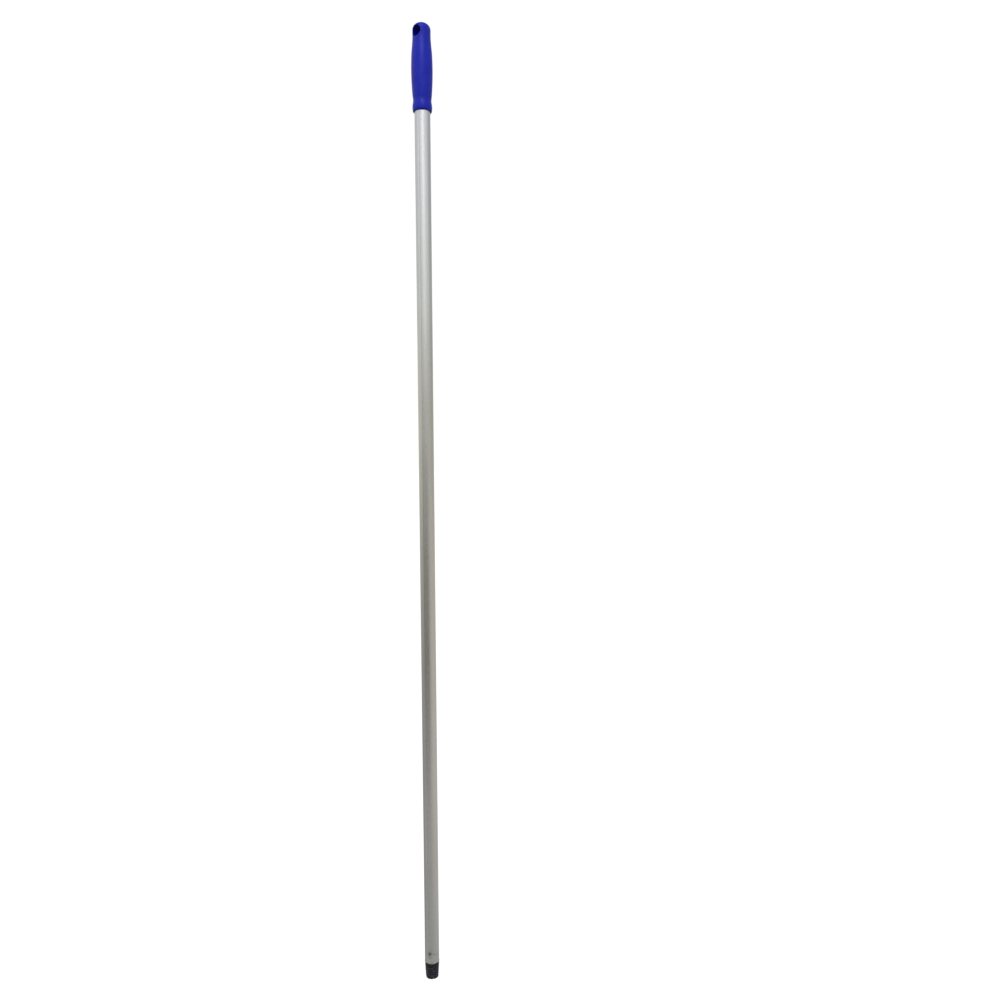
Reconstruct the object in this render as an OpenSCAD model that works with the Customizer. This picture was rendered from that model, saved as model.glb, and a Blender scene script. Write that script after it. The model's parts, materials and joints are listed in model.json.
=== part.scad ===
// Threaded cleaning-tool handle: a rolled steel tube with an open butt seam, a moulded hand grip
// with a hanging hole at its top end, and a moulded screw tip that two punched stakes hold in the
// bottom end. Millimetres, +Z up the handle, origin at the centre of the tip's end face.
// An azimuth is measured about Z from -Y towards +X. The hanging hole runs along Y.

/* [Handle] */
// Overall length, from the tip's end face to the top of the grip
handle_len = 1400; // [600:10:1800]
// Outside diameter of the tube
tube_od = 22; // [20:0.5:26]
// Thickness of the tube's strip
tube_wall = 0.35; // [0.3:0.05:0.8]
// Gap between the two edges of the rolled strip
seam_gap = 0.2; // [0.1:0.05:0.4]
// Azimuth of the seam
seam_az = 18.5; // [0:0.5:60]
// Extra diameter of the belled-out mouth at the tip end
mouth_flare = 1.0; // [0:0.1:1.5]
// Length of the belled-out mouth
mouth_len = 1.2; // [0.8:0.1:2]

/* [Grip] */
// Length of the grip
grip_len = 116.5; // [110:0.5:150]
// Depth of the bore that the tube is pressed into
grip_bore_depth = 82; // [60:1:85]
// Diameter of the grip around the hanging hole
grip_head_d = 25.1; // [24:0.1:26.5]
// Height of the domed top
grip_dome = 9.5; // [8:0.5:11]
// Diameter of the hanging hole
hang_hole_d = 14.6; // [10:0.2:15]
// Distance from the top of the grip down to the centre of the hanging hole
hang_hole_drop = 13.1; // [12:0.1:15]
// How far each mouth of the hanging hole opens out, per side
hang_hole_flare = 1.2; // [0:0.1:1.5]

/* [Screw tip] */
// Length of the tip that stands out of the tube
tip_len = 26.1; // [22:0.1:32]
// Length of the shank inside the tube
shank_len = 32; // [25:1:45]
// Diameter over the thread's crests at the collar
thread_d = 21.86; // [21:0.02:22]
// Diameter over the thread's crests at the end face
thread_end_d = 19.4; // [18.5:0.1:20.5]
// Thread pitch
thread_pitch = 4.1; // [3.5:0.05:4.5]
// Depth of the groove at the collar
groove_depth = 1.2; // [0.8:0.05:1.3]
// Depth of the groove at the end face
groove_end_depth = 0.95; // [0.7:0.05:1.1]
// Diameter of the hollow core, open towards the tube
core_d = 12; // [8:0.5:13]

/* [Stakes] */
// Distance from the tube's mouth up to the stakes
stake_rise = 13.1; // [10:0.1:20]
// Azimuth of the front stake; the other is opposite
stake_az = 26; // [0:1:90]
// Depth of the dimple round each stake
dimple_depth = 1.0; // [0.6:0.1:1.2]
// Radius of the punch's round nose
punch_r = 17; // [12:0.5:20]
// Diameter of the hole that the punch's point pierces
pierce_d = 3.7; // [3:0.1:4.5]

/* [Hidden] */
$fn = 96;
eps = 0.01;

tube_r = tube_od / 2;
tube_ir = tube_r - tube_wall;
mouth_z = tip_len;
rim_z = handle_len - grip_len;
tube_top_z = rim_z + grip_bore_depth;
hang_hole_z = handle_len - hang_hole_drop;

// Fits
grip_clearance = 0.05;
rib_clearance = 0.01;
shank_clearance = 0.05;
slug_clearance = 0.05;

// Turns a child that points along -Y to an azimuth
module at_azimuth(az) { rotate([0, 0, az]) children(); }

// Lays a child that points along +Z down along the outward direction of an azimuth
module outward(az, z) { translate([0, 0, z]) at_azimuth(az) rotate([90, 0, 0]) children(); }

// ---- Curves ----

// A point of the smooth curve through b and c, with a and d as the neighbours
function between(a, b, c, d, u) =
    0.5 * (2 * b + (c - a) * u + (2 * a - 5 * b + 4 * c - d) * u * u
           + (3 * b - a - 3 * c + d) * u * u * u);

// The smooth curve through all the points but the first and the last
function smooth_curve(p, steps) = concat(
    [for (i = [1 : len(p) - 3], k = [0 : steps - 1])
        between(p[i - 1], p[i], p[i + 1], p[i + 2], k / steps)],
    [p[len(p) - 2]]);

// Elliptical arc about a centre, from angle a0 to angle a1
function arc(centre, rx, ry, a0, a1, steps) =
    [for (i = [0 : steps])
        let (a = a0 + (a1 - a0) * i / steps)
        centre + [rx * cos(a), ry * sin(a)]];

// ---- Grip ----

head_r = grip_head_d / 2;
neck_drop = grip_len - 14.7;

// Stations of the palm swell: share of the way from the top of the grip down to the neck, and how
// far the swell stands out from the head
swell = [
    [0.1, 0], [0.19, 0], [0.275, 0.6], [0.395, 1.7], [0.51, 2.2], [0.63, 2.32], [0.745, 2.05],
    [0.865, 1.38], [0.935, 0.85]
];

// Stations of the neck and of the bead round the rim: distance below the neck, and the same
bead = [
    [0, 0.2], [2.4, 0.35], [4.9, 0.82], [7.4, 1.1], [9.4, 1.2], [11.4, 1.08], [13.2, 0.8],
    [14.3, 0.3], [14.7, -0.35]
];

// Outline of the grip's outside, from the top down to the rim. The first and the last of the
// stations only steer the smooth curve through the others.
stations = concat([for (q = swell) [head_r + q[1], handle_len - neck_drop * q[0]]],
                  [for (q = bead) [head_r + q[1], handle_len - neck_drop - q[0]]]);
dome_outline = arc([0, handle_len - grip_dome], head_r, grip_dome, 90, 0, 16);
grip_outline = concat([[0, rim_z], [0, handle_len]],
                      [for (i = [1 : len(dome_outline) - 1]) dome_outline[i]],
                      smooth_curve(stations, 4), [stations[len(stations) - 1]]);

// The tube's bore, with a lead-in at the rim and four crush ribs
rib_count = 4;
rib_w = 1.6;
rib_len = 60;
lead_in = 0.6;
module grip_bore() {
    bore_r = tube_r + grip_clearance;
    difference() {
        union() {
            translate([0, 0, rim_z - 1]) cylinder(r = bore_r, h = grip_bore_depth + 1);
            translate([0, 0, rim_z - eps]) cylinder(r1 = bore_r + lead_in, r2 = bore_r, h = lead_in);
        }
        for (i = [0 : rib_count - 1])
            rotate([0, 0, 45 + 360 * i / rib_count])
                translate([tube_r + rib_clearance, -rib_w / 2, tube_top_z - rib_len])
                    cube([2, rib_w, rib_len]);
    }
}

// The hanging hole's cutter: a straight bore that opens out at both mouths
hole_r = hang_hole_d / 2;
hole_straight = 19;
mouth_run = 3.5;
module hang_hole() {
    translate([0, 0, hang_hole_z]) rotate([90, 0, 0]) {
        cylinder(r = hole_r, h = 40, center = true);
        for (side = [0, 1])
            mirror([0, 0, side]) translate([0, 0, hole_straight / 2])
                cylinder(r1 = hole_r, r2 = hole_r + hang_hole_flare * mouth_run / 3, h = mouth_run);
    }
}

module grip() {
    color("mediumblue") difference() {
        rotate_extrude() polygon(grip_outline);
        grip_bore();
        hang_hole();
    }
}

// ---- Tube ----

// Centre of the punch's round nose, measured from the axis
punch_offset = tube_r - dimple_depth + punch_r;
module punch_nose(grow) { translate([0, 0, punch_offset]) sphere(r = punch_r + grow, $fn = 128); }
stake_z = mouth_z + stake_rise;

// Stretch of the tube's wall that a dimple can reach
dimple_zone = 20;

module tube_wall_profile() {
    polygon([
        [tube_ir, mouth_z + mouth_len], [tube_ir + mouth_flare / 8, mouth_z + mouth_len / 2],
        [tube_ir + mouth_flare / 2, mouth_z], [tube_r + mouth_flare / 2, mouth_z],
        [tube_r + mouth_flare / 8, mouth_z + mouth_len / 2], [tube_r, mouth_z + mouth_len],
        [tube_r, tube_top_z], [tube_ir, tube_top_z]
    ]);
}

module tube() {
    color("silver") difference() {
        union() {
            rotate_extrude() tube_wall_profile();
            for (az = [stake_az, stake_az + 180])
                intersection() {
                    translate([0, 0, stake_z - dimple_zone / 2])
                        cylinder(r = tube_r - eps, h = dimple_zone);
                    outward(az, stake_z) punch_nose(tube_wall);
                }
        }
        for (az = [stake_az, stake_az + 180])
            outward(az, stake_z) {
                punch_nose(0);
                cylinder(d = pierce_d, h = 2 * tube_r);
            }
        at_azimuth(seam_az)
            translate([-seam_gap / 2, -tube_r - 2, mouth_z - 1])
                cube([seam_gap, 4, tube_top_z]);
    }
}

// ---- Screw tip ----

collar_len = 4.8;
shank_r = tube_ir - shank_clearance;
crest_r = thread_d / 2;
crest_end_r = thread_end_d / 2;
core_floor = 4;
end_chamfer = 0.3;

// Radius over the crests, at a distance below the tube's mouth
function crest_at(s) = crest_r + (crest_end_r - crest_r) * (s - collar_len) / (tip_len - collar_len);
function depth_at(s) =
    groove_depth + (groove_end_depth - groove_depth) * (s - collar_len) / (tip_len - collar_len);

// Right-hand groove: where it starts below the mouth, its run-in in turns, and its first azimuth
groove_start = 4.2;
run_in = 0.4;
groove_start_az = 12;

// Half of the groove's section: distance from its middle, and depth left uncut (0 floor, 1 crest)
groove_flank = [[0.45, 0], [0.66, 0.1], [0.82, 0.38], [1.0, 0.7], [1.24, 0.92], [1.6, 1]];

// Radius of the threaded surface at an azimuth, a distance below the tube's mouth
function thread_radius(az, s) =
    let (lag = (groove_start_az - az) / 360,
         first = groove_start + thread_pitch * (lag - floor(lag)),
         k = max(0, round((s - first) / thread_pitch)),
         middle = first + k * thread_pitch,
         cut = min(1, (middle - groove_start) / thread_pitch / run_in),
         chamfer = max(0, end_chamfer - (tip_len - s)))
    crest_at(max(s, collar_len)) - depth_at(s) * cut * (1 - lookup(abs(s - middle), groove_flank))
    - chamfer;

// The threaded length, as a skin of rings between the end face and the inside of the collar
thread_steps = 36;
thread_rise = 0.3;
skin_inset = 0.03;
thread_top = mouth_z - groove_start + 1.7;
module thread_body() {
    rings = ceil(thread_top / thread_rise);
    n = thread_steps;
    points = concat(
        [for (i = [0 : rings], k = [0 : n - 1])
            let (z = thread_top * i / rings, az = 360 * k / n,
                 r = thread_radius(az, mouth_z - z) - skin_inset)
            [r * sin(az), -r * cos(az), z]],
        [[0, 0, 0], [0, 0, thread_top]]);
    bottom = len(points) - 2;
    top = len(points) - 1;
    walls = [for (i = [0 : rings - 1], k = [0 : n - 1])
        let (a = i * n + k, b = i * n + (k + 1) % n)
        each [[a, b + n, b], [a, a + n, b + n]]];
    caps = [for (k = [0 : n - 1]) let (m = (k + 1) % n)
        each [[bottom, k, m], [top, rings * n + m, rings * n + k]]];
    polyhedron(points, concat(walls, caps));
}

// Collar and shank
collar_z = mouth_z - 3.6;
module tip_profile() {
    polygon([
        [0, collar_z], [crest_r, collar_z], [crest_r, collar_z + 0.3],
        [shank_r + 0.08, mouth_z], [shank_r, mouth_z + 0.5],
        [shank_r, mouth_z + shank_len - 1], [shank_r - 1, mouth_z + shank_len],
        [0, mouth_z + shank_len]
    ]);
}

// Pocket that a stake's dimple and slug sit in
slug_seat = 8.75;
module stake_pocket() {
    punch_nose(tube_wall + shank_clearance);
    translate([0, 0, slug_seat]) cylinder(d = pierce_d + 2 * slug_clearance, h = tube_r);
}

module threaded_tip() {
    color([0.16, 0.16, 0.18]) difference() {
        union() {
            rotate_extrude() tip_profile();
            thread_body();
        }
        translate([0, 0, core_floor]) cylinder(d = core_d, h = mouth_z + shank_len);
        for (az = [stake_az, stake_az + 180]) outward(az, stake_z) stake_pocket();
    }
}

// ---- Stakes ----

// The disc that the punch cut from the tube's wall, pressed onto its seat in the tip
module stake_slug(az) {
    color("gray") outward(az, stake_z)
        translate([0, 0, slug_seat]) cylinder(d = pierce_d - 2 * slug_clearance, h = tube_wall);
}

grip();
tube();
threaded_tip();
stake_slug(stake_az);  // stake_slug_front
stake_slug(stake_az + 180);  // stake_slug_back
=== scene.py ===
import json
import math

import bmesh
import bpy
import numpy as np
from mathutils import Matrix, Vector, noise


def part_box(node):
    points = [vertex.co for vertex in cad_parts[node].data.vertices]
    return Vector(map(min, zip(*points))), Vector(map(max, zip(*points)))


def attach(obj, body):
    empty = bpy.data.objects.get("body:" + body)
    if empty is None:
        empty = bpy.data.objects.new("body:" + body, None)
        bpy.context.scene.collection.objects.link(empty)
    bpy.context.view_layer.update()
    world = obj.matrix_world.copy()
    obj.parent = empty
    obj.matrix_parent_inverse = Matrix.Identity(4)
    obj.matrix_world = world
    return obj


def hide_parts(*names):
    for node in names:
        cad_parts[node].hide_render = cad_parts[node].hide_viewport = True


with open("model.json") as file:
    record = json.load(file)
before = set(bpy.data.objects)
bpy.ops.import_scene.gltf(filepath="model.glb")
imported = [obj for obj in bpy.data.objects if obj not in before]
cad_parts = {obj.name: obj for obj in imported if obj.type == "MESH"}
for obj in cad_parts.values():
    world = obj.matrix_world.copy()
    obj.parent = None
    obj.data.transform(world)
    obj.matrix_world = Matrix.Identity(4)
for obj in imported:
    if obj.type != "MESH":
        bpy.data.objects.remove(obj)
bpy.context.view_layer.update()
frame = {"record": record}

# ---- Sizes, in millimetres ----
# What the frame says comes from the frame. The rest repeats sizes that only the CAD source has,
# or is finer detail than the CAD model carries.
# An azimuth is in degrees about Z, from -Y towards +X.

MM = 0.001


def box_mm(node):
    """The corners of a CAD node's box, in millimetres."""
    lo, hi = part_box(node)
    return np.array(lo) / MM, np.array(hi) / MM


grip_lo, grip_hi = box_mm("grip")
tube_lo, tube_hi = box_mm("tube")
slug_lo, slug_hi = box_mm("stake_slug_front")
slug_middle = (slug_lo + slug_hi) / 2
hang_mount = next(m for m in frame["record"]["mounts"] if m["name"] == "hang_hole")

TOP = grip_hi[2]
RIM = grip_lo[2]
MOUTH = tube_lo[2]
TUBE_TOP = tube_hi[2]
HOLE_Z = hang_mount["pos_m"][2] / MM
HOLE_R = hang_mount["dims"]["r_mm"]
STAKE_Z = slug_middle[2]
STAKE_AZ = math.degrees(math.atan2(slug_middle[0], -slug_middle[1]))
SLUG_R = (slug_hi[2] - slug_lo[2]) / 2
SLUG_REACH = math.hypot(slug_middle[0], slug_middle[1])
STAKES = (STAKE_AZ, STAKE_AZ + 180)

# The tube, its seam, and the gap that each moulding leaves round or inside it
TUBE_R = 11.0
WALL = 0.35
FIT_GAP = 0.05
SEAM_AZ = 18.5
SEAM_HALF = 0.13

# The punch's round nose, the dimple that it leaves, and the hole that its point pierces
PUNCH_R = 17.0
DIMPLE_DEPTH = 1.0
PIERCE_R = 1.85

# The tip: its neck at the mouth, its crests from the collar to the end face, and its groove,
# which starts a little below the mouth and deepens over a share of the first turn
NECK_R = 10.68
NECK_LEN = 3.6
TIP_CREST_R = 10.93
TIP_END_R = 9.7
COLLAR = 4.8
PITCH = 4.1
GROOVE_START = 4.2
GROOVE_START_AZ = 12.0
GROOVE_RUN_IN = 0.4
GROOVE_DEPTH = 1.2
GROOVE_END_DEPTH = 0.95
CORE_R = 6.0
CORE_FLOOR = 4.0
SHANK_LEN = 32.0

# The grip's head, its dome and its blind bore
HEAD_R = 12.55
DOME = 9.5
BORE_R = TUBE_R + FIT_GAP


# ---- Small tools ----

def smooth_lookup(x, xs, ys):
    """Cubic curve through the points (xs, ys), with the slopes of their neighbours."""
    xs, ys = np.asarray(xs, float), np.asarray(ys, float)
    slopes = np.gradient(ys, xs)
    x = np.clip(x, xs[0], xs[-1])
    i = np.clip(np.searchsorted(xs, x) - 1, 0, len(xs) - 2)
    h = xs[i + 1] - xs[i]
    u = (x - xs[i]) / h
    return (ys[i] * (1 + 2 * u) * (1 - u) ** 2 + slopes[i] * h * u * (1 - u) ** 2
            + ys[i + 1] * u * u * (3 - 2 * u) + slopes[i + 1] * h * u * u * (u - 1))


def step(x, a, b):
    """0 below a, 1 above b, smooth between."""
    u = np.clip((x - a) / (b - a), 0, 1)
    return u * u * (3 - 2 * u)


def hump(distance, width):
    """1 at no distance, falling off smoothly over a width on both sides."""
    return np.exp(-(distance / width) ** 2)


def soft_min(a, b, k):
    """The smaller of a and b, rounded where they cross within about k."""
    h = np.clip(0.5 + 0.5 * (b - a) / k, 0, 1)
    return b * (1 - h) + a * h - k * h * (1 - h)


def turn_from(az, az0):
    """Signed difference of azimuths, -180 to 180."""
    return (az - az0 + 180) % 360 - 180


def grain(points, scale, seed):
    """Smooth noise at each point, -1 to 1; the points are millimetres and scale is a size."""
    flat = np.reshape(points, (-1, 3))
    made = [noise.noise((p[0] / scale + seed, p[1] / scale - seed, p[2] / scale + 2 * seed))
            for p in flat]
    return np.reshape(made, np.shape(points)[:-1])


def polar(r, az, z):
    """Points at a radius, an azimuth and a height."""
    a = np.radians(az)
    return np.stack(np.broadcast_arrays(r * np.sin(a), -r * np.cos(a), z), -1)


def across_from(az, az0, r):
    """Signed arc length, at radius r, from azimuth az0 to azimuth az."""
    return np.radians(turn_from(az, az0)) * r


def make_object(name, verts, faces, slot, replaces, **marks):
    """A smooth piece on the root body. Each mark is a number for every vertex, which the material
    reads by its name."""
    mesh = bpy.data.meshes.new(name)
    mesh.from_pydata((np.asarray(verts) * MM).tolist(), [], faces)
    for mark, levels in marks.items():
        mesh.attributes.new(mark, "FLOAT", "POINT").data.foreach_set("value", np.ravel(levels))
    mesh.validate()
    mesh.polygons.foreach_set("use_smooth", [True] * len(mesh.polygons))
    mesh.update()
    piece = bpy.data.objects.new(name, mesh)
    bpy.context.collection.objects.link(piece)
    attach(piece, "root")
    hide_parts(*replaces)
    return piece


def clean_up(piece, weld_mm=None):
    """Drops vertices that no face uses, merges those that lie together if asked, and turns every
    face outwards."""
    bm = bmesh.new()
    bm.from_mesh(piece.data)
    bmesh.ops.delete(bm, geom=[v for v in bm.verts if not v.link_faces], context="VERTS")
    if weld_mm is not None:
        bmesh.ops.remove_doubles(bm, verts=bm.verts, dist=weld_mm * MM)
    bmesh.ops.recalc_face_normals(bm, faces=bm.faces)
    bm.to_mesh(piece.data)
    bm.free()


def sharpen(piece, degrees):
    """Keeps edges that turn by more than an angle crisp, and the rest smooth."""
    piece.data.set_sharp_from_angle(angle=math.radians(degrees))


def grid_faces(rows, cols, keep=None):
    """Quads of a grid of vertices, row after row; keep(i, j) may leave some out."""
    return [(i * cols + j, i * cols + j + 1, (i + 1) * cols + j + 1, (i + 1) * cols + j)
            for i in range(rows - 1) for j in range(cols - 1) if keep is None or keep(i, j)]


# ---- Grip ----

# Stations of the palm swell, the neck and the bead: distance below the top, and how far the
# surface stands out from the head
SWELL_DROP = [0, 12, 20, 28, 40, 52, 64, 76, 88, 95.2, 101.8, 104.2, 106.7, 109.2, 111.2, 113.2,
              114.6, 115.6]
SWELL_RISE = [0, 0, 0.04, 0.58, 1.7, 2.2, 2.32, 2.04, 1.38, 0.85, 0.2, 0.35, 0.82, 1.1, 1.18,
              1.08, 0.88, 0.62]


def swell_radius(z):
    return HEAD_R + smooth_lookup(TOP - z, SWELL_DROP, SWELL_RISE)


def head_radius(z):
    """Outside radius where the hanging hole is: the dome, and the start of the swell."""
    up = np.clip((z - (TOP - DOME)) / DOME, 0, 1)
    return swell_radius(z) * np.sqrt(np.maximum(1 - up * up, 0))


def arc_points(centre, rx, rz, a0, a1, count):
    a = np.radians(np.linspace(a0, a1, count))
    return np.stack([centre[0] + rx * np.cos(a), centre[1] + rz * np.sin(a)], -1)


DOME_ROWS = 30
SWELL_ROWS = 108


def grip_profile():
    """Radius and height from the apex down the outside, round the rim and up the blind bore."""
    dome = arc_points((0, TOP - DOME), HEAD_R, DOME, 90, 0, DOME_ROWS)
    drops = np.concatenate([np.linspace(DOME + 0.8, 100, SWELL_ROWS),
                            np.linspace(100.6, 115.6, 40)])
    swell = np.stack([swell_radius(TOP - drops), TOP - drops], -1)
    rim = arc_points((HEAD_R - 0.1, RIM + 0.9), 0.72, 0.9, 0, -90, 8)
    under = [[12.0, RIM], [BORE_R + 0.7, RIM + 0.02], [BORE_R + 0.35, RIM + 0.15],
             [BORE_R + 0.1, RIM + 0.45], [BORE_R, RIM + 0.8]]
    bore = [[BORE_R, z] for z in np.linspace(RIM + 2, TUBE_TOP, 24)]
    roof = [[BORE_R - 1, TUBE_TOP + 0.6], [0, TUBE_TOP + 0.6]]
    return np.concatenate([dome, swell, rim, under, bore, roof])


def hang_patch(border):
    """Rings of points from a border on the grip's outside, over the rounded lip and halfway
    through the hanging hole. The border is a closed loop, and each ring lines up with it."""
    x, up = border[:, 0], border[:, 2] - HOLE_Z
    angle = np.arctan2(up, x)
    ring_x, ring_up = np.cos(angle), np.sin(angle)
    lip = HOLE_R + LIP_WIDTH

    def outside(px, pu):
        r = head_radius(HOLE_Z + pu)
        return -np.sqrt(np.maximum(r * r - px * px, 0))

    rings = []
    for t in np.linspace(0, 1, PATCH_RINGS)[1:]:
        px, pu = x + (ring_x * lip - x) * t, up + (ring_up * lip - up) * t
        rings.append(np.stack([px, outside(px, pu), HOLE_Z + pu], -1))
    start = np.stack([ring_x * lip, outside(ring_x * lip, ring_up * lip)], -1)
    corner_y = outside(ring_x * HOLE_R, ring_up * HOLE_R)
    for t in np.linspace(0, 1, LIP_RINGS)[1:]:
        weights = np.array([(1 - t) ** 2, 2 * t * (1 - t) * 0.8, t * t])
        rho = (weights[0] * lip + weights[1] * HOLE_R + weights[2] * HOLE_R) / weights.sum()
        y = (weights[0] * start[:, 1] + weights[1] * corner_y
             + weights[2] * (corner_y + LIP_WIDTH)) / weights.sum()
        rings.append(np.stack([ring_x * rho, y, HOLE_Z + ring_up * rho], -1))
    last = rings[-1]
    for t in np.linspace(0, 1, 10)[1:]:
        rings.append(np.stack([last[:, 0], last[:, 1] * (1 - t), last[:, 2]], -1))
    return rings


# The front half's columns, and the patch round the hole: columns each side, and reach up and down
GRIP_COLS = 97
PATCH_HALF = 30
PATCH_UP = 10.9
PATCH_DOWN = 12.0
PATCH_RINGS = 10
LIP_WIDTH = 1.1
LIP_RINGS = 8
# Depth of the witness line where the mould's halves met
PARTING_LINE = 0.04


def build_grip():
    """A turned front half with a patch let in for the hanging hole, and its mirror image."""
    profile = grip_profile()
    rows = len(profile)
    az = np.linspace(-90, 90, GRIP_COLS)
    radius = np.repeat(profile[:, :1], GRIP_COLS, axis=1)
    # The witness line runs down both sides, but not over the very top
    outside = (profile[:, 0] > BORE_R + 1) & (np.arange(rows) > 3)
    radius[outside, 0] -= PARTING_LINE
    radius[outside, -1] -= PARTING_LINE
    verts = polar(radius, az[None, :], profile[:, None, 1]).reshape(-1, 3)
    middle = GRIP_COLS // 2
    c0, c1 = middle - PATCH_HALF, middle + PATCH_HALF
    outer = profile[:DOME_ROWS + SWELL_ROWS, 1]
    r0 = int(np.argmin(np.abs(outer - (HOLE_Z + PATCH_UP))))
    r1 = int(np.argmin(np.abs(outer - (HOLE_Z - PATCH_DOWN))))

    def kept(i, j):
        return not (r0 <= i < r1 and c0 <= j < c1)

    faces = grid_faces(rows, GRIP_COLS, keep=kept)
    loop = ([r0 * GRIP_COLS + j for j in range(c0, c1)]
            + [i * GRIP_COLS + c1 for i in range(r0, r1)]
            + [r1 * GRIP_COLS + j for j in range(c1, c0, -1)]
            + [i * GRIP_COLS + c0 for i in range(r1, r0, -1)])
    n = len(loop)
    rings = hang_patch(verts[loop])
    base = len(verts)
    verts = np.concatenate([verts] + rings)
    before = loop
    for ring in range(len(rings)):
        after = [base + ring * n + m for m in range(n)]
        faces += [(before[m], before[(m + 1) % n], after[(m + 1) % n], after[m]) for m in range(n)]
        before = after
    # The back half mirrors the front one
    half = len(verts)
    verts = np.concatenate([verts, verts * [1, -1, 1]])
    faces += [tuple(half + v for v in reversed(f)) for f in faces]
    # Painted shade darkens the hanging hole from just inside its lips
    reach = np.hypot(verts[:, 0], verts[:, 2] - HOLE_Z)
    depth = np.sqrt(np.maximum(HEAD_R ** 2 - verts[:, 0] ** 2, 0)) - np.abs(verts[:, 1])
    shade = step(depth, 0.6, 3.0) * (reach < HOLE_R + 0.2)
    piece = make_object("grip_moulding", verts, faces, "grip_plastic", ["grip"], shade=shade)
    clean_up(piece, 0.004)
    sharpen(piece, 50)
    return piece


# ---- Tube ----

def punch_radius(az, z):
    """Radius at which a line out from the axis meets the punch's round nose at either stake."""
    centre = TUBE_R - DIMPLE_DEPTH + PUNCH_R
    r = np.full(np.broadcast(az, z).shape, 99.0)
    for stake in STAKES:
        a = np.radians(turn_from(az, stake))
        inside = PUNCH_R ** 2 - (z - STAKE_Z) ** 2 - (centre * np.sin(a)) ** 2
        hit = centre * np.cos(a) - np.sqrt(np.maximum(inside, 0))
        r = np.where((inside > 0) & (np.cos(a) > 0), np.minimum(r, hit), r)
    return r


# Tool marks beside the front stake: azimuth, height over it, depth, and size along and across
MARKS = [(68.5, -0.6, 0.16, 1.1, 1.0), (66.0, 0.5, 0.10, 0.7, 1.3), (70.5, 0.9, 0.08, 0.6, 0.7),
         (93.0, 0.2, 0.22, 0.8, 0.55), (95.5, -0.5, 0.12, 0.7, 0.5), (91.5, 1.1, 0.10, 0.5, 0.6),
         (247.0, 0.4, 0.16, 1.0, 1.1), (275.0, -0.3, 0.18, 0.8, 0.7)]


def tube_surface(az, z):
    """Outside radius of the tube: dimples, the metal drawn in round them, and tool marks."""
    r = TUBE_R + np.zeros(np.broadcast(az, z).shape)
    for stake in STAKES:
        across = across_from(az, stake, TUBE_R)
        r = r - 0.28 * hump(np.hypot(across / 1.15, (z - STAKE_Z) / 1.7), 4.2)
    r = soft_min(r, punch_radius(az, z), 0.22)
    for mark_az, rise, depth, along, wide in MARKS:
        across = across_from(az, mark_az, TUBE_R)
        near = hump(np.hypot(across / wide, (z - STAKE_Z - rise) / along), 1.0)
        r = r - depth * near * (1 + 0.5 * grain(polar(TUBE_R, az, z), 0.45, 19.0))
    return r


# Smudges of dirt by the mouth, and painted shade in the dents and the dimple at the front stake:
# azimuth, height, and size across and along
DIRT_AND_SHADE_SPOTS = [(38, MOUTH + 2.2, 2.4, 1.6), (68, STAKE_Z, 1.2, 1.8), (93, STAKE_Z, 1.2, 1.6),
           (STAKE_AZ + 3, STAKE_Z, 3.0, 3.0), (240, MOUTH + 3.0, 3.0, 1.4),
           (150, MOUTH + 1.6, 2.6, 1.2)]


def tube_grime(az, z):
    """How dark the surface is: dirt by the mouth, and painted shade in the dents, the dimple and along
    the mouth's edge.
    """
    where = polar(TUBE_R, az, z)
    patches = np.clip(grain(where, 0.9, 23.0) * 1.6, 0, 1)
    dirt_and_shade = 0.0
    for spot_az, spot_z, wide, tall in DIRT_AND_SHADE_SPOTS:
        across = across_from(az, spot_az, TUBE_R)
        dirt_and_shade = dirt_and_shade + hump(np.hypot(across / wide, (z - spot_z) / tall), 1.0)
    # Painted shade along the mouth's edge, where the tube meets the tip, broken up in patches
    edge = hump(z - MOUTH, 0.7) * (0.5 + 0.5 * patches)
    return np.clip(dirt_and_shade * patches + edge, 0, 1)


# Teeth of the burr: azimuth, height and width
TEETH = [(-47, 0.3, 0.7), (-41, 0.14, 0.5), (133, 0.34, 0.8), (141, 0.16, 0.4), (-22, 0.1, 0.6),
         (SEAM_AZ + 2, 0.24, 0.4), (212, 0.16, 0.9), (285, 0.12, 0.7)]


def mouth_burr(az, z):
    """How far the sheared mouth stands out, raggedly, over its last millimetre."""
    near = np.clip(1 - (z - MOUTH) / 1.25, 0, 1)
    ring = polar(TUBE_R, az, np.zeros_like(z))
    rough = grain(ring, 3.1, 5.0) * 0.14 + grain(ring, 0.9, 11.0) * 0.12
    teeth = sum(height * hump(across_from(az, tooth_az, TUBE_R), width)
                for tooth_az, height, width in TEETH)
    return near ** 2.6 * (0.26 + rough + teeth)


def tube_rows():
    """Heights of the rings of vertices: close together round the stakes, far apart above."""
    fine = np.arange(0, 23.6, 0.24)
    grow = np.cumsum(0.3 * 1.18 ** np.arange(24))
    height = np.concatenate([[0, 0.06, 0.14], fine[1:], fine[-1] + grow])
    rest = np.linspace(height[-1] + 16, TUBE_TOP - MOUTH, 36)
    return MOUTH + np.concatenate([height, rest])


def seam_half_width(z):
    """Half of the gap between the strip's edges, in millimetres. The punch and the mouth's crimp
    closed it."""
    wander = grain(np.stack([z * 0, z * 0, z], -1), 31.0, 3.0) * 0.035
    stake_gap = step(np.abs(z - STAKE_Z), 4.6, 6.2)
    mouth_gap = 0.12 + 0.3 * step(z - MOUTH, 3.2, 4.4) + 0.58 * step(z - STAKE_Z, 3.0, 9.0)
    return np.maximum((SEAM_HALF + wander) * stake_gap * mouth_gap, 0.006)


def stake_offsets(az, z):
    """Arc length and rise from the nearer stake, and that stake's azimuth."""
    across = np.zeros(z.shape)
    owner = np.zeros(z.shape)
    for stake in STAKES:
        arc = across_from(az, stake, TUBE_R)
        closer = np.abs(arc) < 20
        across = np.where(closer, arc, across)
        owner = np.where(closer, stake, owner)
    return across, z - STAKE_Z, owner


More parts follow.
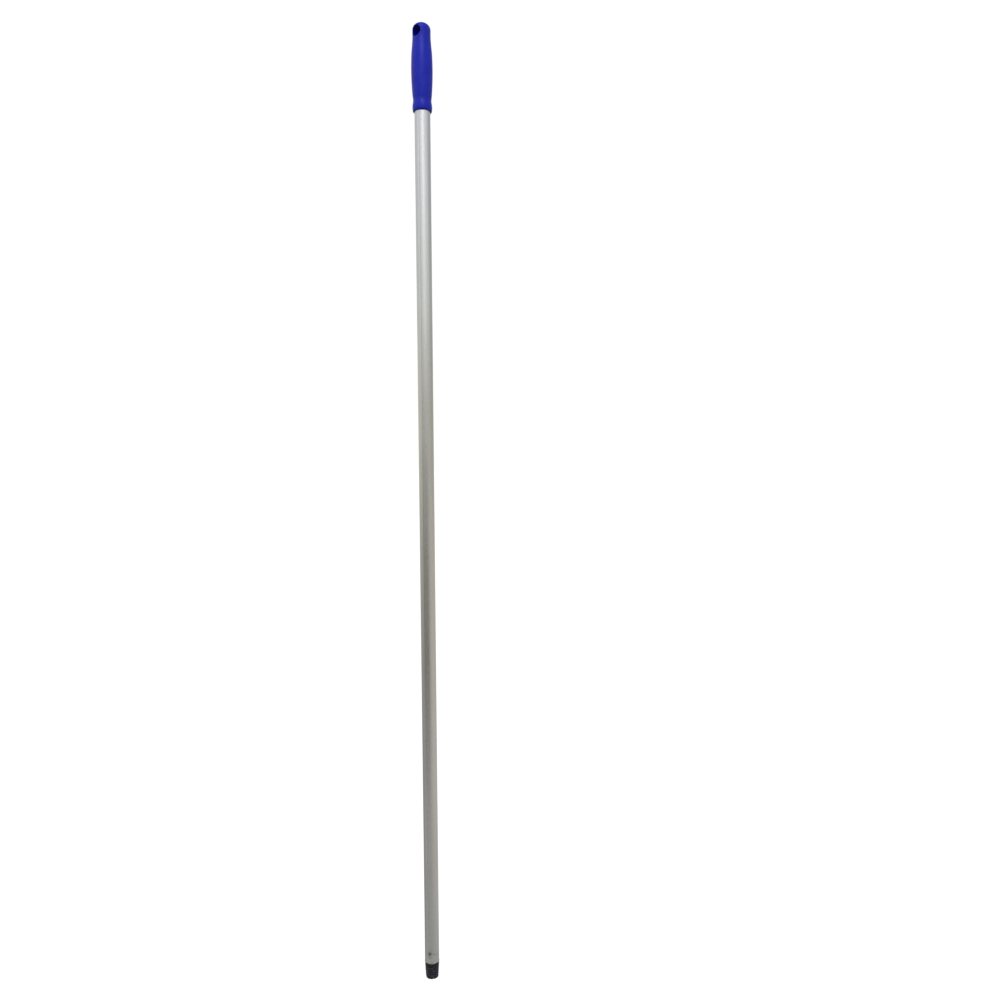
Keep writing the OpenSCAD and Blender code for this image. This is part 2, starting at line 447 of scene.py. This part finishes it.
def cells_round(cells):
    """How many of the marked cells of a grid each of its vertices touches."""
    count = np.zeros(np.add(cells.shape, 1), int)
    for i in (0, 1):
        for j in (0, 1):
            count[i:i + cells.shape[0], j:j + cells.shape[1]] += cells
    return count


TUBE_COLS = 289


def build_tube():
    """One sheet from seam to seam and its inner copy, joined along every edge."""
    z_rows = tube_rows()
    u = np.linspace(0, 1, TUBE_COLS)
    z, u = np.meshgrid(z_rows, u, indexing="ij")
    half = np.degrees(seam_half_width(z) / TUBE_R)
    az = SEAM_AZ + half + (360 - 2 * half) * u
    # The strip's edges are turned in a little
    to_edge = np.minimum(u, 1 - u) * 2 * math.pi * TUBE_R
    lapped = hump(z - STAKE_Z, 4.6)
    jog = np.where(u < 0.5, 0.03 + 0.05 * lapped, -0.05 - 0.06 * lapped) * hump(to_edge, 0.9)
    edge_drop = 0.13 * hump(to_edge, 0.42) * (1 - 0.8 * lapped)

    # Faces inside the pierced holes are left out, and the holes' edges are drawn to a circle
    across, rise, owner = stake_offsets(az, z)
    reach = np.hypot(across, rise)
    centre_reach = (reach[:-1, :-1] + reach[1:, :-1] + reach[:-1, 1:] + reach[1:, 1:]) / 4
    drop = centre_reach < PIERCE_R
    faces = grid_faces(len(z_rows), TUBE_COLS, keep=lambda i, j: not drop[i, j])
    lip = (cells_round(drop) > 0) & (cells_round(~drop) > 0)
    pull = np.where(lip, PIERCE_R / np.maximum(reach, 0.1), 1.0)
    az = np.where(lip, owner + np.degrees(across * pull / TUBE_R), az)
    z = np.where(lip, STAKE_Z + rise * pull, z)

    outer_r = tube_surface(az, z) + mouth_burr(az, z) - edge_drop + jog
    # The pierced edge is dragged inwards by the punch's point
    torn = 1 + 0.9 * grain(polar(TUBE_R, az, z), 0.7, 29.0)
    drag = 0.2 * torn * hump(np.maximum(reach * pull - PIERCE_R, 0), 0.35) * (reach < 4)
    outer_r = outer_r - drag
    # The mouth was sheared off a little unevenly
    rough_edge = grain(polar(TUBE_R, az, z * 0), 1.4, 7.0) * 0.1
    z_out = z + (rough_edge - 0.03) * (1 - np.clip((z - MOUTH) / 0.3, 0, 1))
    outer = polar(outer_r, az, z_out).reshape(-1, 3)
    inner = polar(outer_r - WALL, az, z_out).reshape(-1, 3)

    count = len(outer)
    inner_faces = [tuple(count + v for v in reversed(f)) for f in faces]
    walls = border_walls(faces, count)
    grime = np.tile(tube_grime(az, z).ravel(), 2)
    piece = make_object("tube_rolled", np.concatenate([outer, inner]), faces + inner_faces + walls,
                        "tube_metal", ["tube"], grime=grime)
    clean_up(piece)
    sharpen(piece, 38)
    return piece


def border_walls(faces, count):
    """Quads between the open edges of a sheet and the same edges of its copy, whose vertices
    come count later."""
    seen = dict.fromkeys((a, b) for f in faces for a, b in zip(f, f[1:] + f[:1]))
    return [(b, a, count + a, count + b) for a, b in seen if (b, a) not in seen]


# ---- Screw tip ----

# Half a groove across: distance from its middle, and height as a share of its depth
FLANK_U = [0, 0.56, 0.62, 0.70, 0.80, 0.94, 1.10, 1.28, 1.5, 1.8, 2.4]
FLANK_H = [0, 0.0, 0.04, 0.18, 0.42, 0.68, 0.86, 0.95, 0.99, 1.0, 1.0]
# Distance of each foot of the thread from the groove's middle
FOOT = 0.66


def thread_surface(az, s):
    """Radius of the threaded length a distance s below the tube's mouth, how full the groove is
    there, and how near a foot of the thread is."""
    t = (np.maximum(s, COLLAR) - COLLAR) / (MOUTH - COLLAR)
    crest = TIP_CREST_R + (TIP_END_R - TIP_CREST_R) * t
    neck = NECK_R + (TIP_CREST_R - NECK_R) * np.clip(s / NECK_LEN, 0, 1)
    crest = np.where(s < NECK_LEN, neck, crest)
    depth = GROOVE_DEPTH + (GROOVE_END_DEPTH - GROOVE_DEPTH) * t
    lag = (GROOVE_START_AZ - az) / 360
    first = GROOVE_START + PITCH * (lag - np.floor(lag))
    k = np.maximum(0, np.round((s - first) / PITCH))
    middle = first + k * PITCH
    cut = step((middle - GROOVE_START) / PITCH, 0, GROOVE_RUN_IN)
    fill = np.interp(np.abs(s - middle), FLANK_U, FLANK_H)
    # A fine ridge follows each foot of the thread; the material paints a highlight along it
    foot = hump(np.abs(s - middle) - FOOT, 0.13) * cut
    return crest - depth * cut * (1 - fill) + 0.06 * foot, fill, foot


# The ejector pins' flat marks: their azimuth and radius, and for each its distance below the
# mouth, its distance from the axis, and how scuffed it is
PAD_AZ = 57.6
PAD_R = 1.9
PADS = [(6.4, 10.42, 0.3), (24.2, 9.42, 0.8)]


def tip_surface(az, s):
    """Radius of the worn moulding, and its marks: foot, scuffs with painted highlights, and dust."""
    r, fill, foot = thread_surface(az, s)
    where = polar(r, az, -s)
    # Moulding unevenness, and knocks and scuffs that are heavier on the crests near the front; the
    # scuffs' grey is partly painted highlight
    r = r + grain(where, 5.0, 2.0) * 0.05 + grain(where, 1.3, 4.0) * 0.02 * fill
    worn = np.clip(grain(where, 2.4, 9.0) * 2.2 - 0.25, 0, 1)
    front = 0.3 + 0.7 * hump(turn_from(az, 46.0), 42.0) + 0.5 * hump(turn_from(az, 215.0), 50.0)
    pits = np.clip(grain(where, 0.42, 13.0) - 0.12, 0, 1)
    r = r - pits * worn * front * 0.22 * np.where(s > 5, fill, 0.25 * fill)
    for pad_s, face, _ in PADS:
        a = np.radians(turn_from(az, PAD_AZ))
        across = np.sin(a) * face
        reach = np.hypot(across, s - pad_s)
        flat = face / np.maximum(np.cos(a), 0.5)
        inside = (1 - step(reach, PAD_R - 0.06, PAD_R + 0.06)) * (np.cos(a) > 0.5)
        r = r * (1 - inside) + (flat + grain(where, 0.8, 21.0) * 0.05) * inside
        gutter = hump(reach - PAD_R, 0.16) * (np.cos(a) > 0.5)
        side = 0.5 + 0.5 * np.sin(np.arctan2(s - pad_s, across) + 0.6)
        r = r - gutter * (0.1 + 0.28 * side)
        flash = hump(reach - PAD_R - 0.3, 0.14) * (1 - side) * (np.cos(a) > 0.5)
        r = r + flash * 0.12
    # A run of flash beside the upper mark, where the groove starts
    across = across_from(az, 33.0, TIP_CREST_R)
    r = r + 0.12 * hump(np.hypot(across / 0.5, (s - 6.6) / 1.6) - 1.0, 0.25)
    # Mould parting lines
    for line in (PAD_AZ + 90, PAD_AZ - 90):
        r = r + 0.07 * hump(across_from(az, line, TUBE_R), 0.14)
    on_crest = np.where(s > 5.4, fill ** 3, 0.05 * fill)
    scuff_and_highlight = np.clip(on_crest * front * (0.02 + 1.2 * worn), 0, 1)
    for pad_s, _, share in PADS:
        reach = np.hypot(across_from(az, PAD_AZ, 10.0), s - pad_s)
        scuff_and_highlight = np.maximum(scuff_and_highlight, share * (1 - step(reach, PAD_R - 0.5, PAD_R + 0.3)))
    return r, foot, scuff_and_highlight, (1 - fill) * np.clip(0.5 + grain(where, 3.0, 31.0), 0, 1)


TIP_COLS = 253
# The end face's dish: its depth, its roughness, and the recess round the moulding gate
DISH = 0.1
DISH_ROUGH = 0.05
GATE_DEPTH = 0.35


def build_tip():
    """Rings of vertices from the core's floor, up inside, down the outside and over the end face."""
    az = np.linspace(0, 360, TIP_COLS)
    by_edge = [MOUTH - 0.3, MOUTH - 0.18, MOUTH - 0.08, MOUTH - 0.02]
    s_outside = np.concatenate([np.arange(0, MOUTH - 0.35, 0.115), by_edge])
    z_shank = np.concatenate([np.arange(0.35, 7.6, 1.2), np.arange(7.8, 18.6, 0.25),
                              np.arange(19.5, SHANK_LEN, 3.0), [SHANK_LEN - 0.8]])
    rows, marks = [], {"foot": [], "scuff_and_highlight": [], "dust": []}

    def add_ring(r, z, foot=0.0, scuff_and_highlight=0.0, dust=0.0):
        rows.append(polar(r, az, np.full_like(az, z)))
        for mark, level in (("foot", foot), ("scuff_and_highlight", scuff_and_highlight), ("dust", dust)):
            marks[mark].append(np.full_like(az, level))

    shank_r = TUBE_R - WALL - FIT_GAP
    shank_end = MOUTH + SHANK_LEN
    for r, z in ((0.0, CORE_FLOOR), (CORE_R - 1, CORE_FLOOR), (CORE_R, CORE_FLOOR + 1),
                 (CORE_R, shank_end), (shank_r - 0.8, shank_end)):
        add_ring(r, z)
    for up in z_shank[::-1]:
        z = np.full_like(az, MOUTH + up)
        r = np.minimum(shank_r, tube_surface(az, z) - WALL - FIT_GAP)
        for stake in STAKES:
            across = across_from(az, stake, TUBE_R - 1.5)
            reach = np.hypot(across, z - STAKE_Z)
            seat = SLUG_REACH - WALL / 2 - 0.02
            r = np.where(reach < PIERCE_R + 0.12, np.minimum(r, seat), r)
        add_ring(r, z)
    for s in s_outside:
        r, foot, scuff_and_highlight, dust = tip_surface(az, np.full_like(az, s))
        add_ring(r, MOUTH - s, foot, scuff_and_highlight, dust)
    # The end face, with a rounded edge and a rough, slightly dished middle
    edge = tip_surface(az, np.full_like(az, MOUTH - 0.02))[0]
    for inset in (0.05, 0.18, 0.4):
        add_ring(edge - inset, 0.0, scuff_and_highlight=0.1, dust=0.3)
    for share in (0.93, 0.85, 0.75, 0.6, 0.45, 0.3, 0.22, 0.18, 0.15, 0.12, 0.06, 0.0):
        ring = polar(edge * share, az, az * 0)
        dish = DISH * step(1 - share, 0.03, 0.2) + DISH_ROUGH * np.abs(grain(ring, 1.6, 17.0))
        dish = dish + GATE_DEPTH * (1 - step(share, 0.12, 0.2))
        add_ring(edge * share, dish, scuff_and_highlight=0.1, dust=0.3)
    verts = np.array(rows).reshape(-1, 3)
    faces = grid_faces(len(rows), TIP_COLS)
    piece = make_object("tip_moulding", verts, faces, "tip_plastic", ["threaded_tip"], **marks)
    clean_up(piece, 0.004)
    sharpen(piece, 60)
    return piece


# ---- Punched slugs ----

SLUG_RINGS = 18
SLUG_COLS = 73


def build_slug(name, az, node, seed):
    """A torn disc of strip, dented on the side that shows and flat on its seat."""
    a = np.linspace(0, 2 * math.pi, SLUG_COLS)
    # The side that tore last is short of its pocket
    reach = SLUG_R * (1 - 0.2 * hump((a - 0.45 + math.pi) % (2 * math.pi) - math.pi, 0.75))
    verts = []
    for side, rise in ((1, WALL), (-1, 0.0)):
        for share in np.linspace(0, 1, SLUG_RINGS)[::side]:
            x, y = reach * share * np.cos(a), reach * share * np.sin(a)
            flat = np.stack([x, y, x * 0], -1)
            torn = grain(flat, 0.62, seed) * 0.26 + grain(flat, 0.24, seed + 3) * 0.13
            h = (rise + torn - 0.1 * share ** 3) if side > 0 else x * 0
            verts.append(np.stack([x, y, h], -1))
    local = np.array(verts).reshape(-1, 3)
    out, sideways, up = polar(1, az, 0), polar(1, az + 90, 0), polar(0, az, 1)
    seat = SLUG_REACH - WALL / 2
    verts = (local[:, :1] * sideways + (local[:, 1:2] + STAKE_Z) * up
             + (local[:, 2:] + seat) * out)
    low = -0.5 * local[:, 0] - 0.8 * local[:, 1]
    rust = step(low + 0.4 * grain(local, 0.5, seed + 5), 0.5, 1.2)
    piece = make_object(name, verts, grid_faces(2 * SLUG_RINGS, SLUG_COLS), "slug_metal", [node],
                        rust=rust)
    clean_up(piece, 0.002)
    sharpen(piece, 50)
    return piece


# ---- Materials ----

def new_material(name, color, roughness, metallic=0.0):
    """A material with its node tree and its shader."""
    material = bpy.data.materials.new(name)
    material.use_nodes = True
    shader = material.node_tree.nodes["Principled BSDF"]
    shader.inputs["Base Color"].default_value = (*color, 1)
    shader.inputs["Roughness"].default_value = roughness
    shader.inputs["Metallic"].default_value = metallic
    return material, material.node_tree, shader


def add_noise(tree, scale, detail, stretch=(1, 1, 1), roughness=0.5):
    """Noise over the object's own coordinates; stretch divides its frequency along each axis."""
    coords = tree.nodes.new("ShaderNodeTexCoord")
    mapping = tree.nodes.new("ShaderNodeMapping")
    mapping.inputs["Scale"].default_value = [1 / s for s in stretch]
    texture = tree.nodes.new("ShaderNodeTexNoise")
    texture.inputs["Scale"].default_value = scale
    texture.inputs["Detail"].default_value = detail
    texture.inputs["Roughness"].default_value = roughness
    tree.links.new(coords.outputs["Object"], mapping.inputs["Vector"])
    tree.links.new(mapping.outputs["Vector"], texture.inputs["Vector"])
    return texture.outputs["Fac"]


def add_ramp(tree, value, stops):
    """stops: (position, colour or grey level)."""
    ramp = tree.nodes.new("ShaderNodeValToRGB")
    while len(ramp.color_ramp.elements) < len(stops):
        ramp.color_ramp.elements.new(0.5)
    for element, (position, level) in zip(ramp.color_ramp.elements, stops):
        element.position = position
        element.color = (*level, 1) if isinstance(level, tuple) else (level, level, level, 1)
    tree.links.new(value, ramp.inputs["Fac"])
    return ramp.outputs["Color"]


def feed(tree, socket, value):
    """Links another socket to a socket, or sets a constant on it."""
    if isinstance(value, bpy.types.NodeSocket):
        tree.links.new(value, socket)
    else:
        socket.default_value = value


def add_mix(tree, factor, a, b, blend="MIX"):
    """A colour between a and b; each input is a socket or a constant."""
    mix = tree.nodes.new("ShaderNodeMix")
    mix.data_type = "RGBA"
    mix.blend_type = blend
    for socket, value in ((0, factor), (6, a), (7, b)):
        feed(tree, mix.inputs[socket], value)
    return mix.outputs[2]


def add_attribute(tree, name):
    """A number that the mesh carries at its vertices."""
    node = tree.nodes.new("ShaderNodeAttribute")
    node.attribute_name = name
    return node.outputs["Fac"]


def add_bump(tree, shader, height, strength, distance_mm, under=None):
    """Bumps the shader's normal, on top of another bump if one is given under it."""
    bump = tree.nodes.new("ShaderNodeBump")
    bump.inputs["Strength"].default_value = strength
    bump.inputs["Distance"].default_value = distance_mm * MM
    tree.links.new(height, bump.inputs["Height"])
    if under is not None:
        tree.links.new(under, bump.inputs["Normal"])
    tree.links.new(bump.outputs["Normal"], shader.inputs["Normal"])
    return bump.outputs["Normal"]


def tube_material():
    """Satin strip: fine lengthwise grain, faint mottling, and a champagne tint."""
    material, tree, shader = new_material("tube_satin", (0.60, 0.59, 0.56), 0.3, 1.0)
    lines = add_noise(tree, 5200, 3, stretch=(1, 1, 60))
    mottle = add_noise(tree, 42, 4, stretch=(1, 1, 5))
    tone = add_ramp(tree, mottle, [(0.3, (0.575, 0.56, 0.53)), (0.5, (0.61, 0.598, 0.57)),
                                   (0.72, (0.64, 0.63, 0.605))])
    streak = add_ramp(tree, lines, [(0.3, 0.92), (0.7, 1.0)])
    clean = add_mix(tree, 1.0, tone, streak, "MULTIPLY")
    # Darker with dirt by the mouth, and with painted shade in the dents, the dimple and along the
    # mouth's edge
    dirt_and_shade = add_mix(tree, add_attribute(tree, "grime"), clean, (0.16, 0.13, 0.12, 1))
    tree.links.new(dirt_and_shade, shader.inputs["Base Color"])
    rough = add_ramp(tree, lines, [(0.3, 0.34), (0.7, 0.26)])
    tree.links.new(rough, shader.inputs["Roughness"])
    add_bump(tree, shader, lines, 0.15, 0.02)
    return material


def grip_material():
    """Royal blue moulded plastic with a fine spark-eroded texture, scratched where it is handled."""
    material, tree, shader = new_material("grip_blue", (0.007, 0.016, 0.42), 0.36)
    shader.inputs["Specular IOR Level"].default_value = 0.2
    cloud = add_noise(tree, 60, 4)
    tone = add_ramp(tree, cloud, [(0.3, (0.005, 0.012, 0.365)), (0.7, (0.007, 0.017, 0.425))])
    lengthwise = add_noise(tree, 1100, 3, stretch=(1, 1, 22))
    scratches = add_ramp(tree, lengthwise, [(0.6, 0.0), (0.7, 1.0)])
    handled = add_ramp(tree, add_noise(tree, 38, 4, roughness=0.6), [(0.42, 0.0), (0.66, 0.5)])
    worn = add_mix(tree, 1.0, handled, scratches, "MULTIPLY")
    tone = add_mix(tree, worn, tone, (0.03, 0.045, 0.5, 1))
    # Painted shade inside the hanging hole: dark blue, and fully rough
    shade = add_attribute(tree, "shade")
    tone = add_mix(tree, shade, tone, (0.0, 0.002, 0.24, 1))
    tree.links.new(tone, shader.inputs["Base Color"])
    rough = add_ramp(tree, cloud, [(0.3, 0.40), (0.7, 0.33)])
    rough = add_mix(tree, worn, rough, (0.6, 0.6, 0.6, 1))
    rough = add_mix(tree, shade, rough, (1, 1, 1, 1))
    tree.links.new(rough, shader.inputs["Roughness"])
    skin = add_bump(tree, shader, add_noise(tree, 2600, 2), 0.22, 0.05)
    add_bump(tree, shader, worn, 0.2, 0.02, under=skin)
    return material


def tip_material():
    """Black regrind plastic, with dust in the grooves, grey scuffs and painted highlights on the
    crests, and a painted highlight along the thread's feet.
    """
    material, tree, shader = new_material("tip_black", (0.010, 0.009, 0.012), 0.35)
    shader.inputs["Specular IOR Level"].default_value = 0.35
    grainy = add_noise(tree, 1500, 6, roughness=0.7)
    fine = add_noise(tree, 3400, 4, roughness=0.6)
    patch = add_noise(tree, 140, 3)
    tone = add_ramp(tree, patch, [(0.4, (0.003, 0.0025, 0.005)), (0.65, (0.008, 0.007, 0.011))])
    tone = add_mix(tree, add_attribute(tree, "dust"), tone, (0.014, 0.010, 0.010, 1))
    # Grey flecks where the mark says: scuffs, and painted highlights on the crests near the front
    flecks = add_ramp(tree, add_noise(tree, 1900, 5, roughness=0.65), [(0.52, 0.0), (0.6, 1.0)])
    scuff_and_highlight_flecks = add_mix(tree, 1.0, add_attribute(tree, "scuff_and_highlight"), flecks, "MULTIPLY")
    tone = add_mix(tree, scuff_and_highlight_flecks, tone, (0.26, 0.26, 0.29, 1))
    # Painted highlight along each foot of the thread, broken up by the grain
    broken = add_ramp(tree, grainy, [(0.3, 0.5), (0.55, 1.0)])
    foot_highlight = add_mix(tree, 1.0, add_attribute(tree, "foot"), broken, "MULTIPLY")
    tone = add_mix(tree, foot_highlight, tone, (0.085, 0.085, 0.095, 1))
    tree.links.new(tone, shader.inputs["Base Color"])
    rough = add_ramp(tree, grainy, [(0.35, 0.2), (0.7, 0.38)])
    tree.links.new(rough, shader.inputs["Roughness"])
    lumps = add_bump(tree, shader, grainy, 0.3, 0.09)
    add_bump(tree, shader, fine, 0.2, 0.05, under=lumps)
    return material


def slug_material():
    """Torn raw strip with a little rust."""
    material, tree, shader = new_material("slug_raw", (0.36, 0.35, 0.31), 0.45, 0.85)
    spots = add_noise(tree, 1500, 4)
    tone = add_ramp(tree, spots, [(0.4, (0.42, 0.41, 0.37)), (0.62, (0.20, 0.18, 0.14))])
    tone = add_mix(tree, add_attribute(tree, "rust"), tone, (0.115, 0.072, 0.05, 1))
    tree.links.new(tone, shader.inputs["Base Color"])
    add_bump(tree, shader, add_noise(tree, 3200, 4), 0.6, 0.08)
    return material


# ---- Stage: floor, camera and lights ----

def on_azimuth(az, distance, height):
    """A place in metres, a distance from the handle's axis."""
    a = math.radians(az)
    return Vector((math.sin(a) * distance, -math.cos(a) * distance, height))


# The camera's place in metres, its turns in degrees, its lens and sensor in millimetres, and its
# upward shift as a share of the sensor
CAMERA_AZ = 45.0
CAMERA_DISTANCE = 1.2497
CAMERA_HEIGHT = 0.8142
CAMERA_PITCH = 6.601
CAMERA_YAW = 4.924
CAMERA_ROLL = 0.092
LENS = 30.6
SENSOR = 36.0
SHIFT = 0.05


def build_camera():
    data = bpy.data.cameras.new("camera")
    data.sensor_width = SENSOR
    data.lens = LENS
    data.shift_y = SHIFT
    camera = bpy.data.objects.new("camera", data)
    bpy.context.collection.objects.link(camera)
    camera.location = on_azimuth(CAMERA_AZ, CAMERA_DISTANCE, CAMERA_HEIGHT)
    camera.rotation_mode = "XYZ"
    camera.rotation_euler = (math.radians(90 - CAMERA_PITCH), math.radians(CAMERA_ROLL),
                             math.radians(CAMERA_AZ - CAMERA_YAW))
    bpy.context.scene.camera = camera


def add_math(tree, operation, a, b):
    node = tree.nodes.new("ShaderNodeMath")
    node.operation = operation
    for socket, value in zip(node.inputs, (a, b)):
        feed(tree, socket, value)
    return node.outputs[0]


def add_range(tree, value, from_min, from_max, to_min, to_max):
    """A smooth change from to_min to to_max while the value goes from from_min to from_max."""
    node = tree.nodes.new("ShaderNodeMapRange")
    node.interpolation_type = "SMOOTHSTEP"
    for name, number in (("From Min", from_min), ("From Max", from_max), ("To Min", to_min),
                         ("To Max", to_max)):
        node.inputs[name].default_value = number
    tree.links.new(value, node.inputs["Value"])
    return node.outputs["Result"]


def add_product(tree, *parts):
    """The values multiplied together."""
    product = parts[0]
    for part in parts[1:]:
        product = add_math(tree, "MULTIPLY", product, part)
    return product


def add_band(tree, value, outer_low, low, high, outer_high):
    """1 between low and high, falling smoothly to 0 at the outer values."""
    return add_product(tree, add_range(tree, value, outer_low, low, 0.0, 1.0),
                       add_range(tree, value, outer_high, high, 0.0, 1.0))


def add_dot(tree, vector, axis):
    """How far a direction points along an axis, -1 to 1."""
    node = tree.nodes.new("ShaderNodeVectorMath")
    node.operation = "DOT_PRODUCT"
    tree.links.new(vector, node.inputs[0])
    node.inputs[1].default_value = axis
    return node.outputs["Value"]


TO_CAMERA = on_azimuth(CAMERA_AZ, 1, 0)
TO_RIGHT = on_azimuth(CAMERA_AZ + 90, 1, 0)
FLOOR_SIZE = 60.0


def only_for_camera(thing):
    """Keeps something out of reflections and off the light's way."""
    thing.visible_diffuse = False
    thing.visible_glossy = False
    thing.visible_transmission = False
    thing.visible_shadow = False


def glowing_material(name, grey, roughness, glow):
    """A matt surface that also shines white by itself, for what only the camera sees."""
    material, _, shader = new_material(name, (grey, grey, grey), roughness)
    shader.inputs["Specular IOR Level"].default_value = 0.0
    shader.inputs["Emission Color"].default_value = (1, 1, 1, 1)
    shader.inputs["Emission Strength"].default_value = glow
    return material


def build_backdrop():
    """A white surround, and a white floor that takes a faint shadow. The object mirrors neither."""
    bpy.ops.mesh.primitive_uv_sphere_add(radius=FLOOR_SIZE, segments=64, ring_count=32)
    surround = bpy.context.object
    surround.data.materials.append(glowing_material("white_surround", 0.0, 1.0, 1.02))
    half = FLOOR_SIZE / 2
    mesh = bpy.data.meshes.new("floor")
    mesh.from_pydata([(-half, -half, 0), (half, -half, 0), (half, half, 0), (-half, half, 0)], [],
                     [(0, 1, 2, 3)])
    floor = bpy.data.objects.new("floor", mesh)
    bpy.context.collection.objects.link(floor)
    mesh.materials.append(glowing_material("white_floor", 0.35, 0.9, 0.8))
    for thing in (surround, floor):
        only_for_camera(thing)


def add_toward(tree, level, goal, share):
    """Moves a level towards a goal by a share."""
    gap = add_math(tree, "SUBTRACT", goal, level)
    return add_math(tree, "ADD", level, add_math(tree, "MULTIPLY", gap, share))


# The sky's tint at shares of the way from straight down to straight up: warm at eye level, and
# bluish high up
SKY_TINTS = [(0.06, (0.97, 1.0, 1.04)), (0.14, (0.98, 1.0, 0.95)), (0.25, (1.06, 1.0, 0.99)),
             (0.36, (1.09, 1.0, 0.9)), (0.5, (0.99, 1.0, 0.84)), (0.6, (0.98, 1.0, 0.93)),
             (0.67, (0.94, 1.0, 1.02)), (0.79, (0.97, 1.0, 1.13))]
LAMP_LEVEL = 5.2


def sky_level(tree, forward, sideways, upward):
    """Brightness of the sky in a direction: how far it points to the camera, to the camera's right
    and up."""
    # The walls go from dim on the left to bright on the right
    level = add_range(tree, sideways, -0.15, 0.9, 0.1, 0.66)
    # A pale floor below them, an even grey at eye level and above, and a dark spot straight down
    floor = add_product(tree, add_range(tree, upward, -0.29, -0.4, 0.0, 1.0),
                        add_range(tree, forward, -0.6, 0.95, 0.28, 1.0))
    level = add_toward(tree, level, 0.64, floor)
    level = add_toward(tree, level, 0.53, add_range(tree, upward, -0.12, 0.05, 0.0, 1.0))
    level = add_toward(tree, level, 0.1, add_range(tree, upward, -0.52, -0.66, 0.0, 1.0))
    # A wide window, high behind the camera
    width = add_math(tree, "ADD", add_range(tree, forward, -0.3, 0.95, 0.0, 0.66),
                     add_range(tree, forward, 0.8, 1.0, 0.0, 0.4))
    rise = add_math(tree, "ADD", add_range(tree, upward, 0.0, 0.3, 0.0, 0.9),
                    add_range(tree, upward, 0.2, 0.31, 0.0, 0.4))
    window = add_product(tree, width, rise, add_range(tree, upward, 0.31, 0.42, 1.0, 0.45))
    # Glows on the left: a broad one, and two by eye level, at the side and in front
    lift = add_product(tree, add_range(tree, upward, -0.3, 0.0, 0.14, 0.3),
                       add_range(tree, sideways, -0.2, -0.85, 0.0, 1.0),
                       add_range(tree, forward, 0.9, 0.2, 0.0, 1.0))
    rim = add_product(tree, add_range(tree, forward, 0.4, -0.25, 0.0, 0.14),
                      add_band(tree, upward, -0.37, -0.27, -0.06, 0.01))
    haze = add_product(tree, add_range(tree, forward, 0.2, 0.5, 0.0, 0.06),
                       add_band(tree, upward, -0.2, -0.1, -0.01, 0.07))
    glow = add_product(tree, add_range(tree, sideways, 0.1, -0.45, 0.0, 1.0),
                       add_math(tree, "ADD", rim, haze))
    # A little light from behind, and a small lamp over the camera
    back = add_range(tree, forward, -0.5, -0.8, 0.0, 0.1)
    lamp = add_product(tree, add_range(tree, forward, 0.0, 0.2, 0.0, LAMP_LEVEL),
                       add_band(tree, upward, 0.5, 0.58, 0.64, 0.72),
                       add_band(tree, sideways, -0.26, -0.14, 0.14, 0.26))
    for part in (window, lift, back, glow, lamp):
        level = add_math(tree, "ADD", level, part)
    return level


def build_sky():
    """The room that the handle mirrors, which lights it too."""
    world = bpy.data.worlds.new("studio")
    world.use_nodes = True
    tree = world.node_tree
    sky = tree.nodes.new("ShaderNodeTexCoord").outputs["Generated"]
    upward = add_dot(tree, sky, (0, 0, 1))
    level = sky_level(tree, add_dot(tree, sky, TO_CAMERA), add_dot(tree, sky, TO_RIGHT), upward)
    height = add_math(tree, "ADD", add_math(tree, "MULTIPLY", upward, 0.8), 0.5)
    background = tree.nodes["Background"]
    tree.links.new(add_ramp(tree, height, SKY_TINTS), background.inputs["Color"])
    tree.links.new(level, background.inputs["Strength"])
    bpy.context.scene.world = world


def build_top_light():
    """A soft box over the camera's side."""
    data = bpy.data.lights.new("top_soft", "AREA")
    data.shape = "RECTANGLE"
    data.size, data.size_y = 1.2, 1.2
    data.energy = 10
    light = bpy.data.objects.new("top_soft", data)
    light.location = on_azimuth(CAMERA_AZ, 1.6, 3.2)
    aim = Vector((0, 0, 0.9)) - light.location
    light.rotation_euler = aim.to_track_quat("-Z", "Y").to_euler()
    bpy.context.collection.objects.link(light)
    light.visible_camera = False


build_camera()
grip = build_grip()
tube = build_tube()
tip = build_tip()
slugs = [build_slug("slug_front", STAKES[0], "stake_slug_front", 1.7),
         build_slug("slug_back", STAKES[1], "stake_slug_back", 6.3)]
grip.data.materials.append(grip_material())
tube.data.materials.append(tube_material())
tip.data.materials.append(tip_material())
raw_metal = slug_material()
for slug in slugs:
    slug.data.materials.append(raw_metal)
build_backdrop()
build_sky()
build_top_light()
bpy.context.scene.view_settings.view_transform = "Standard"
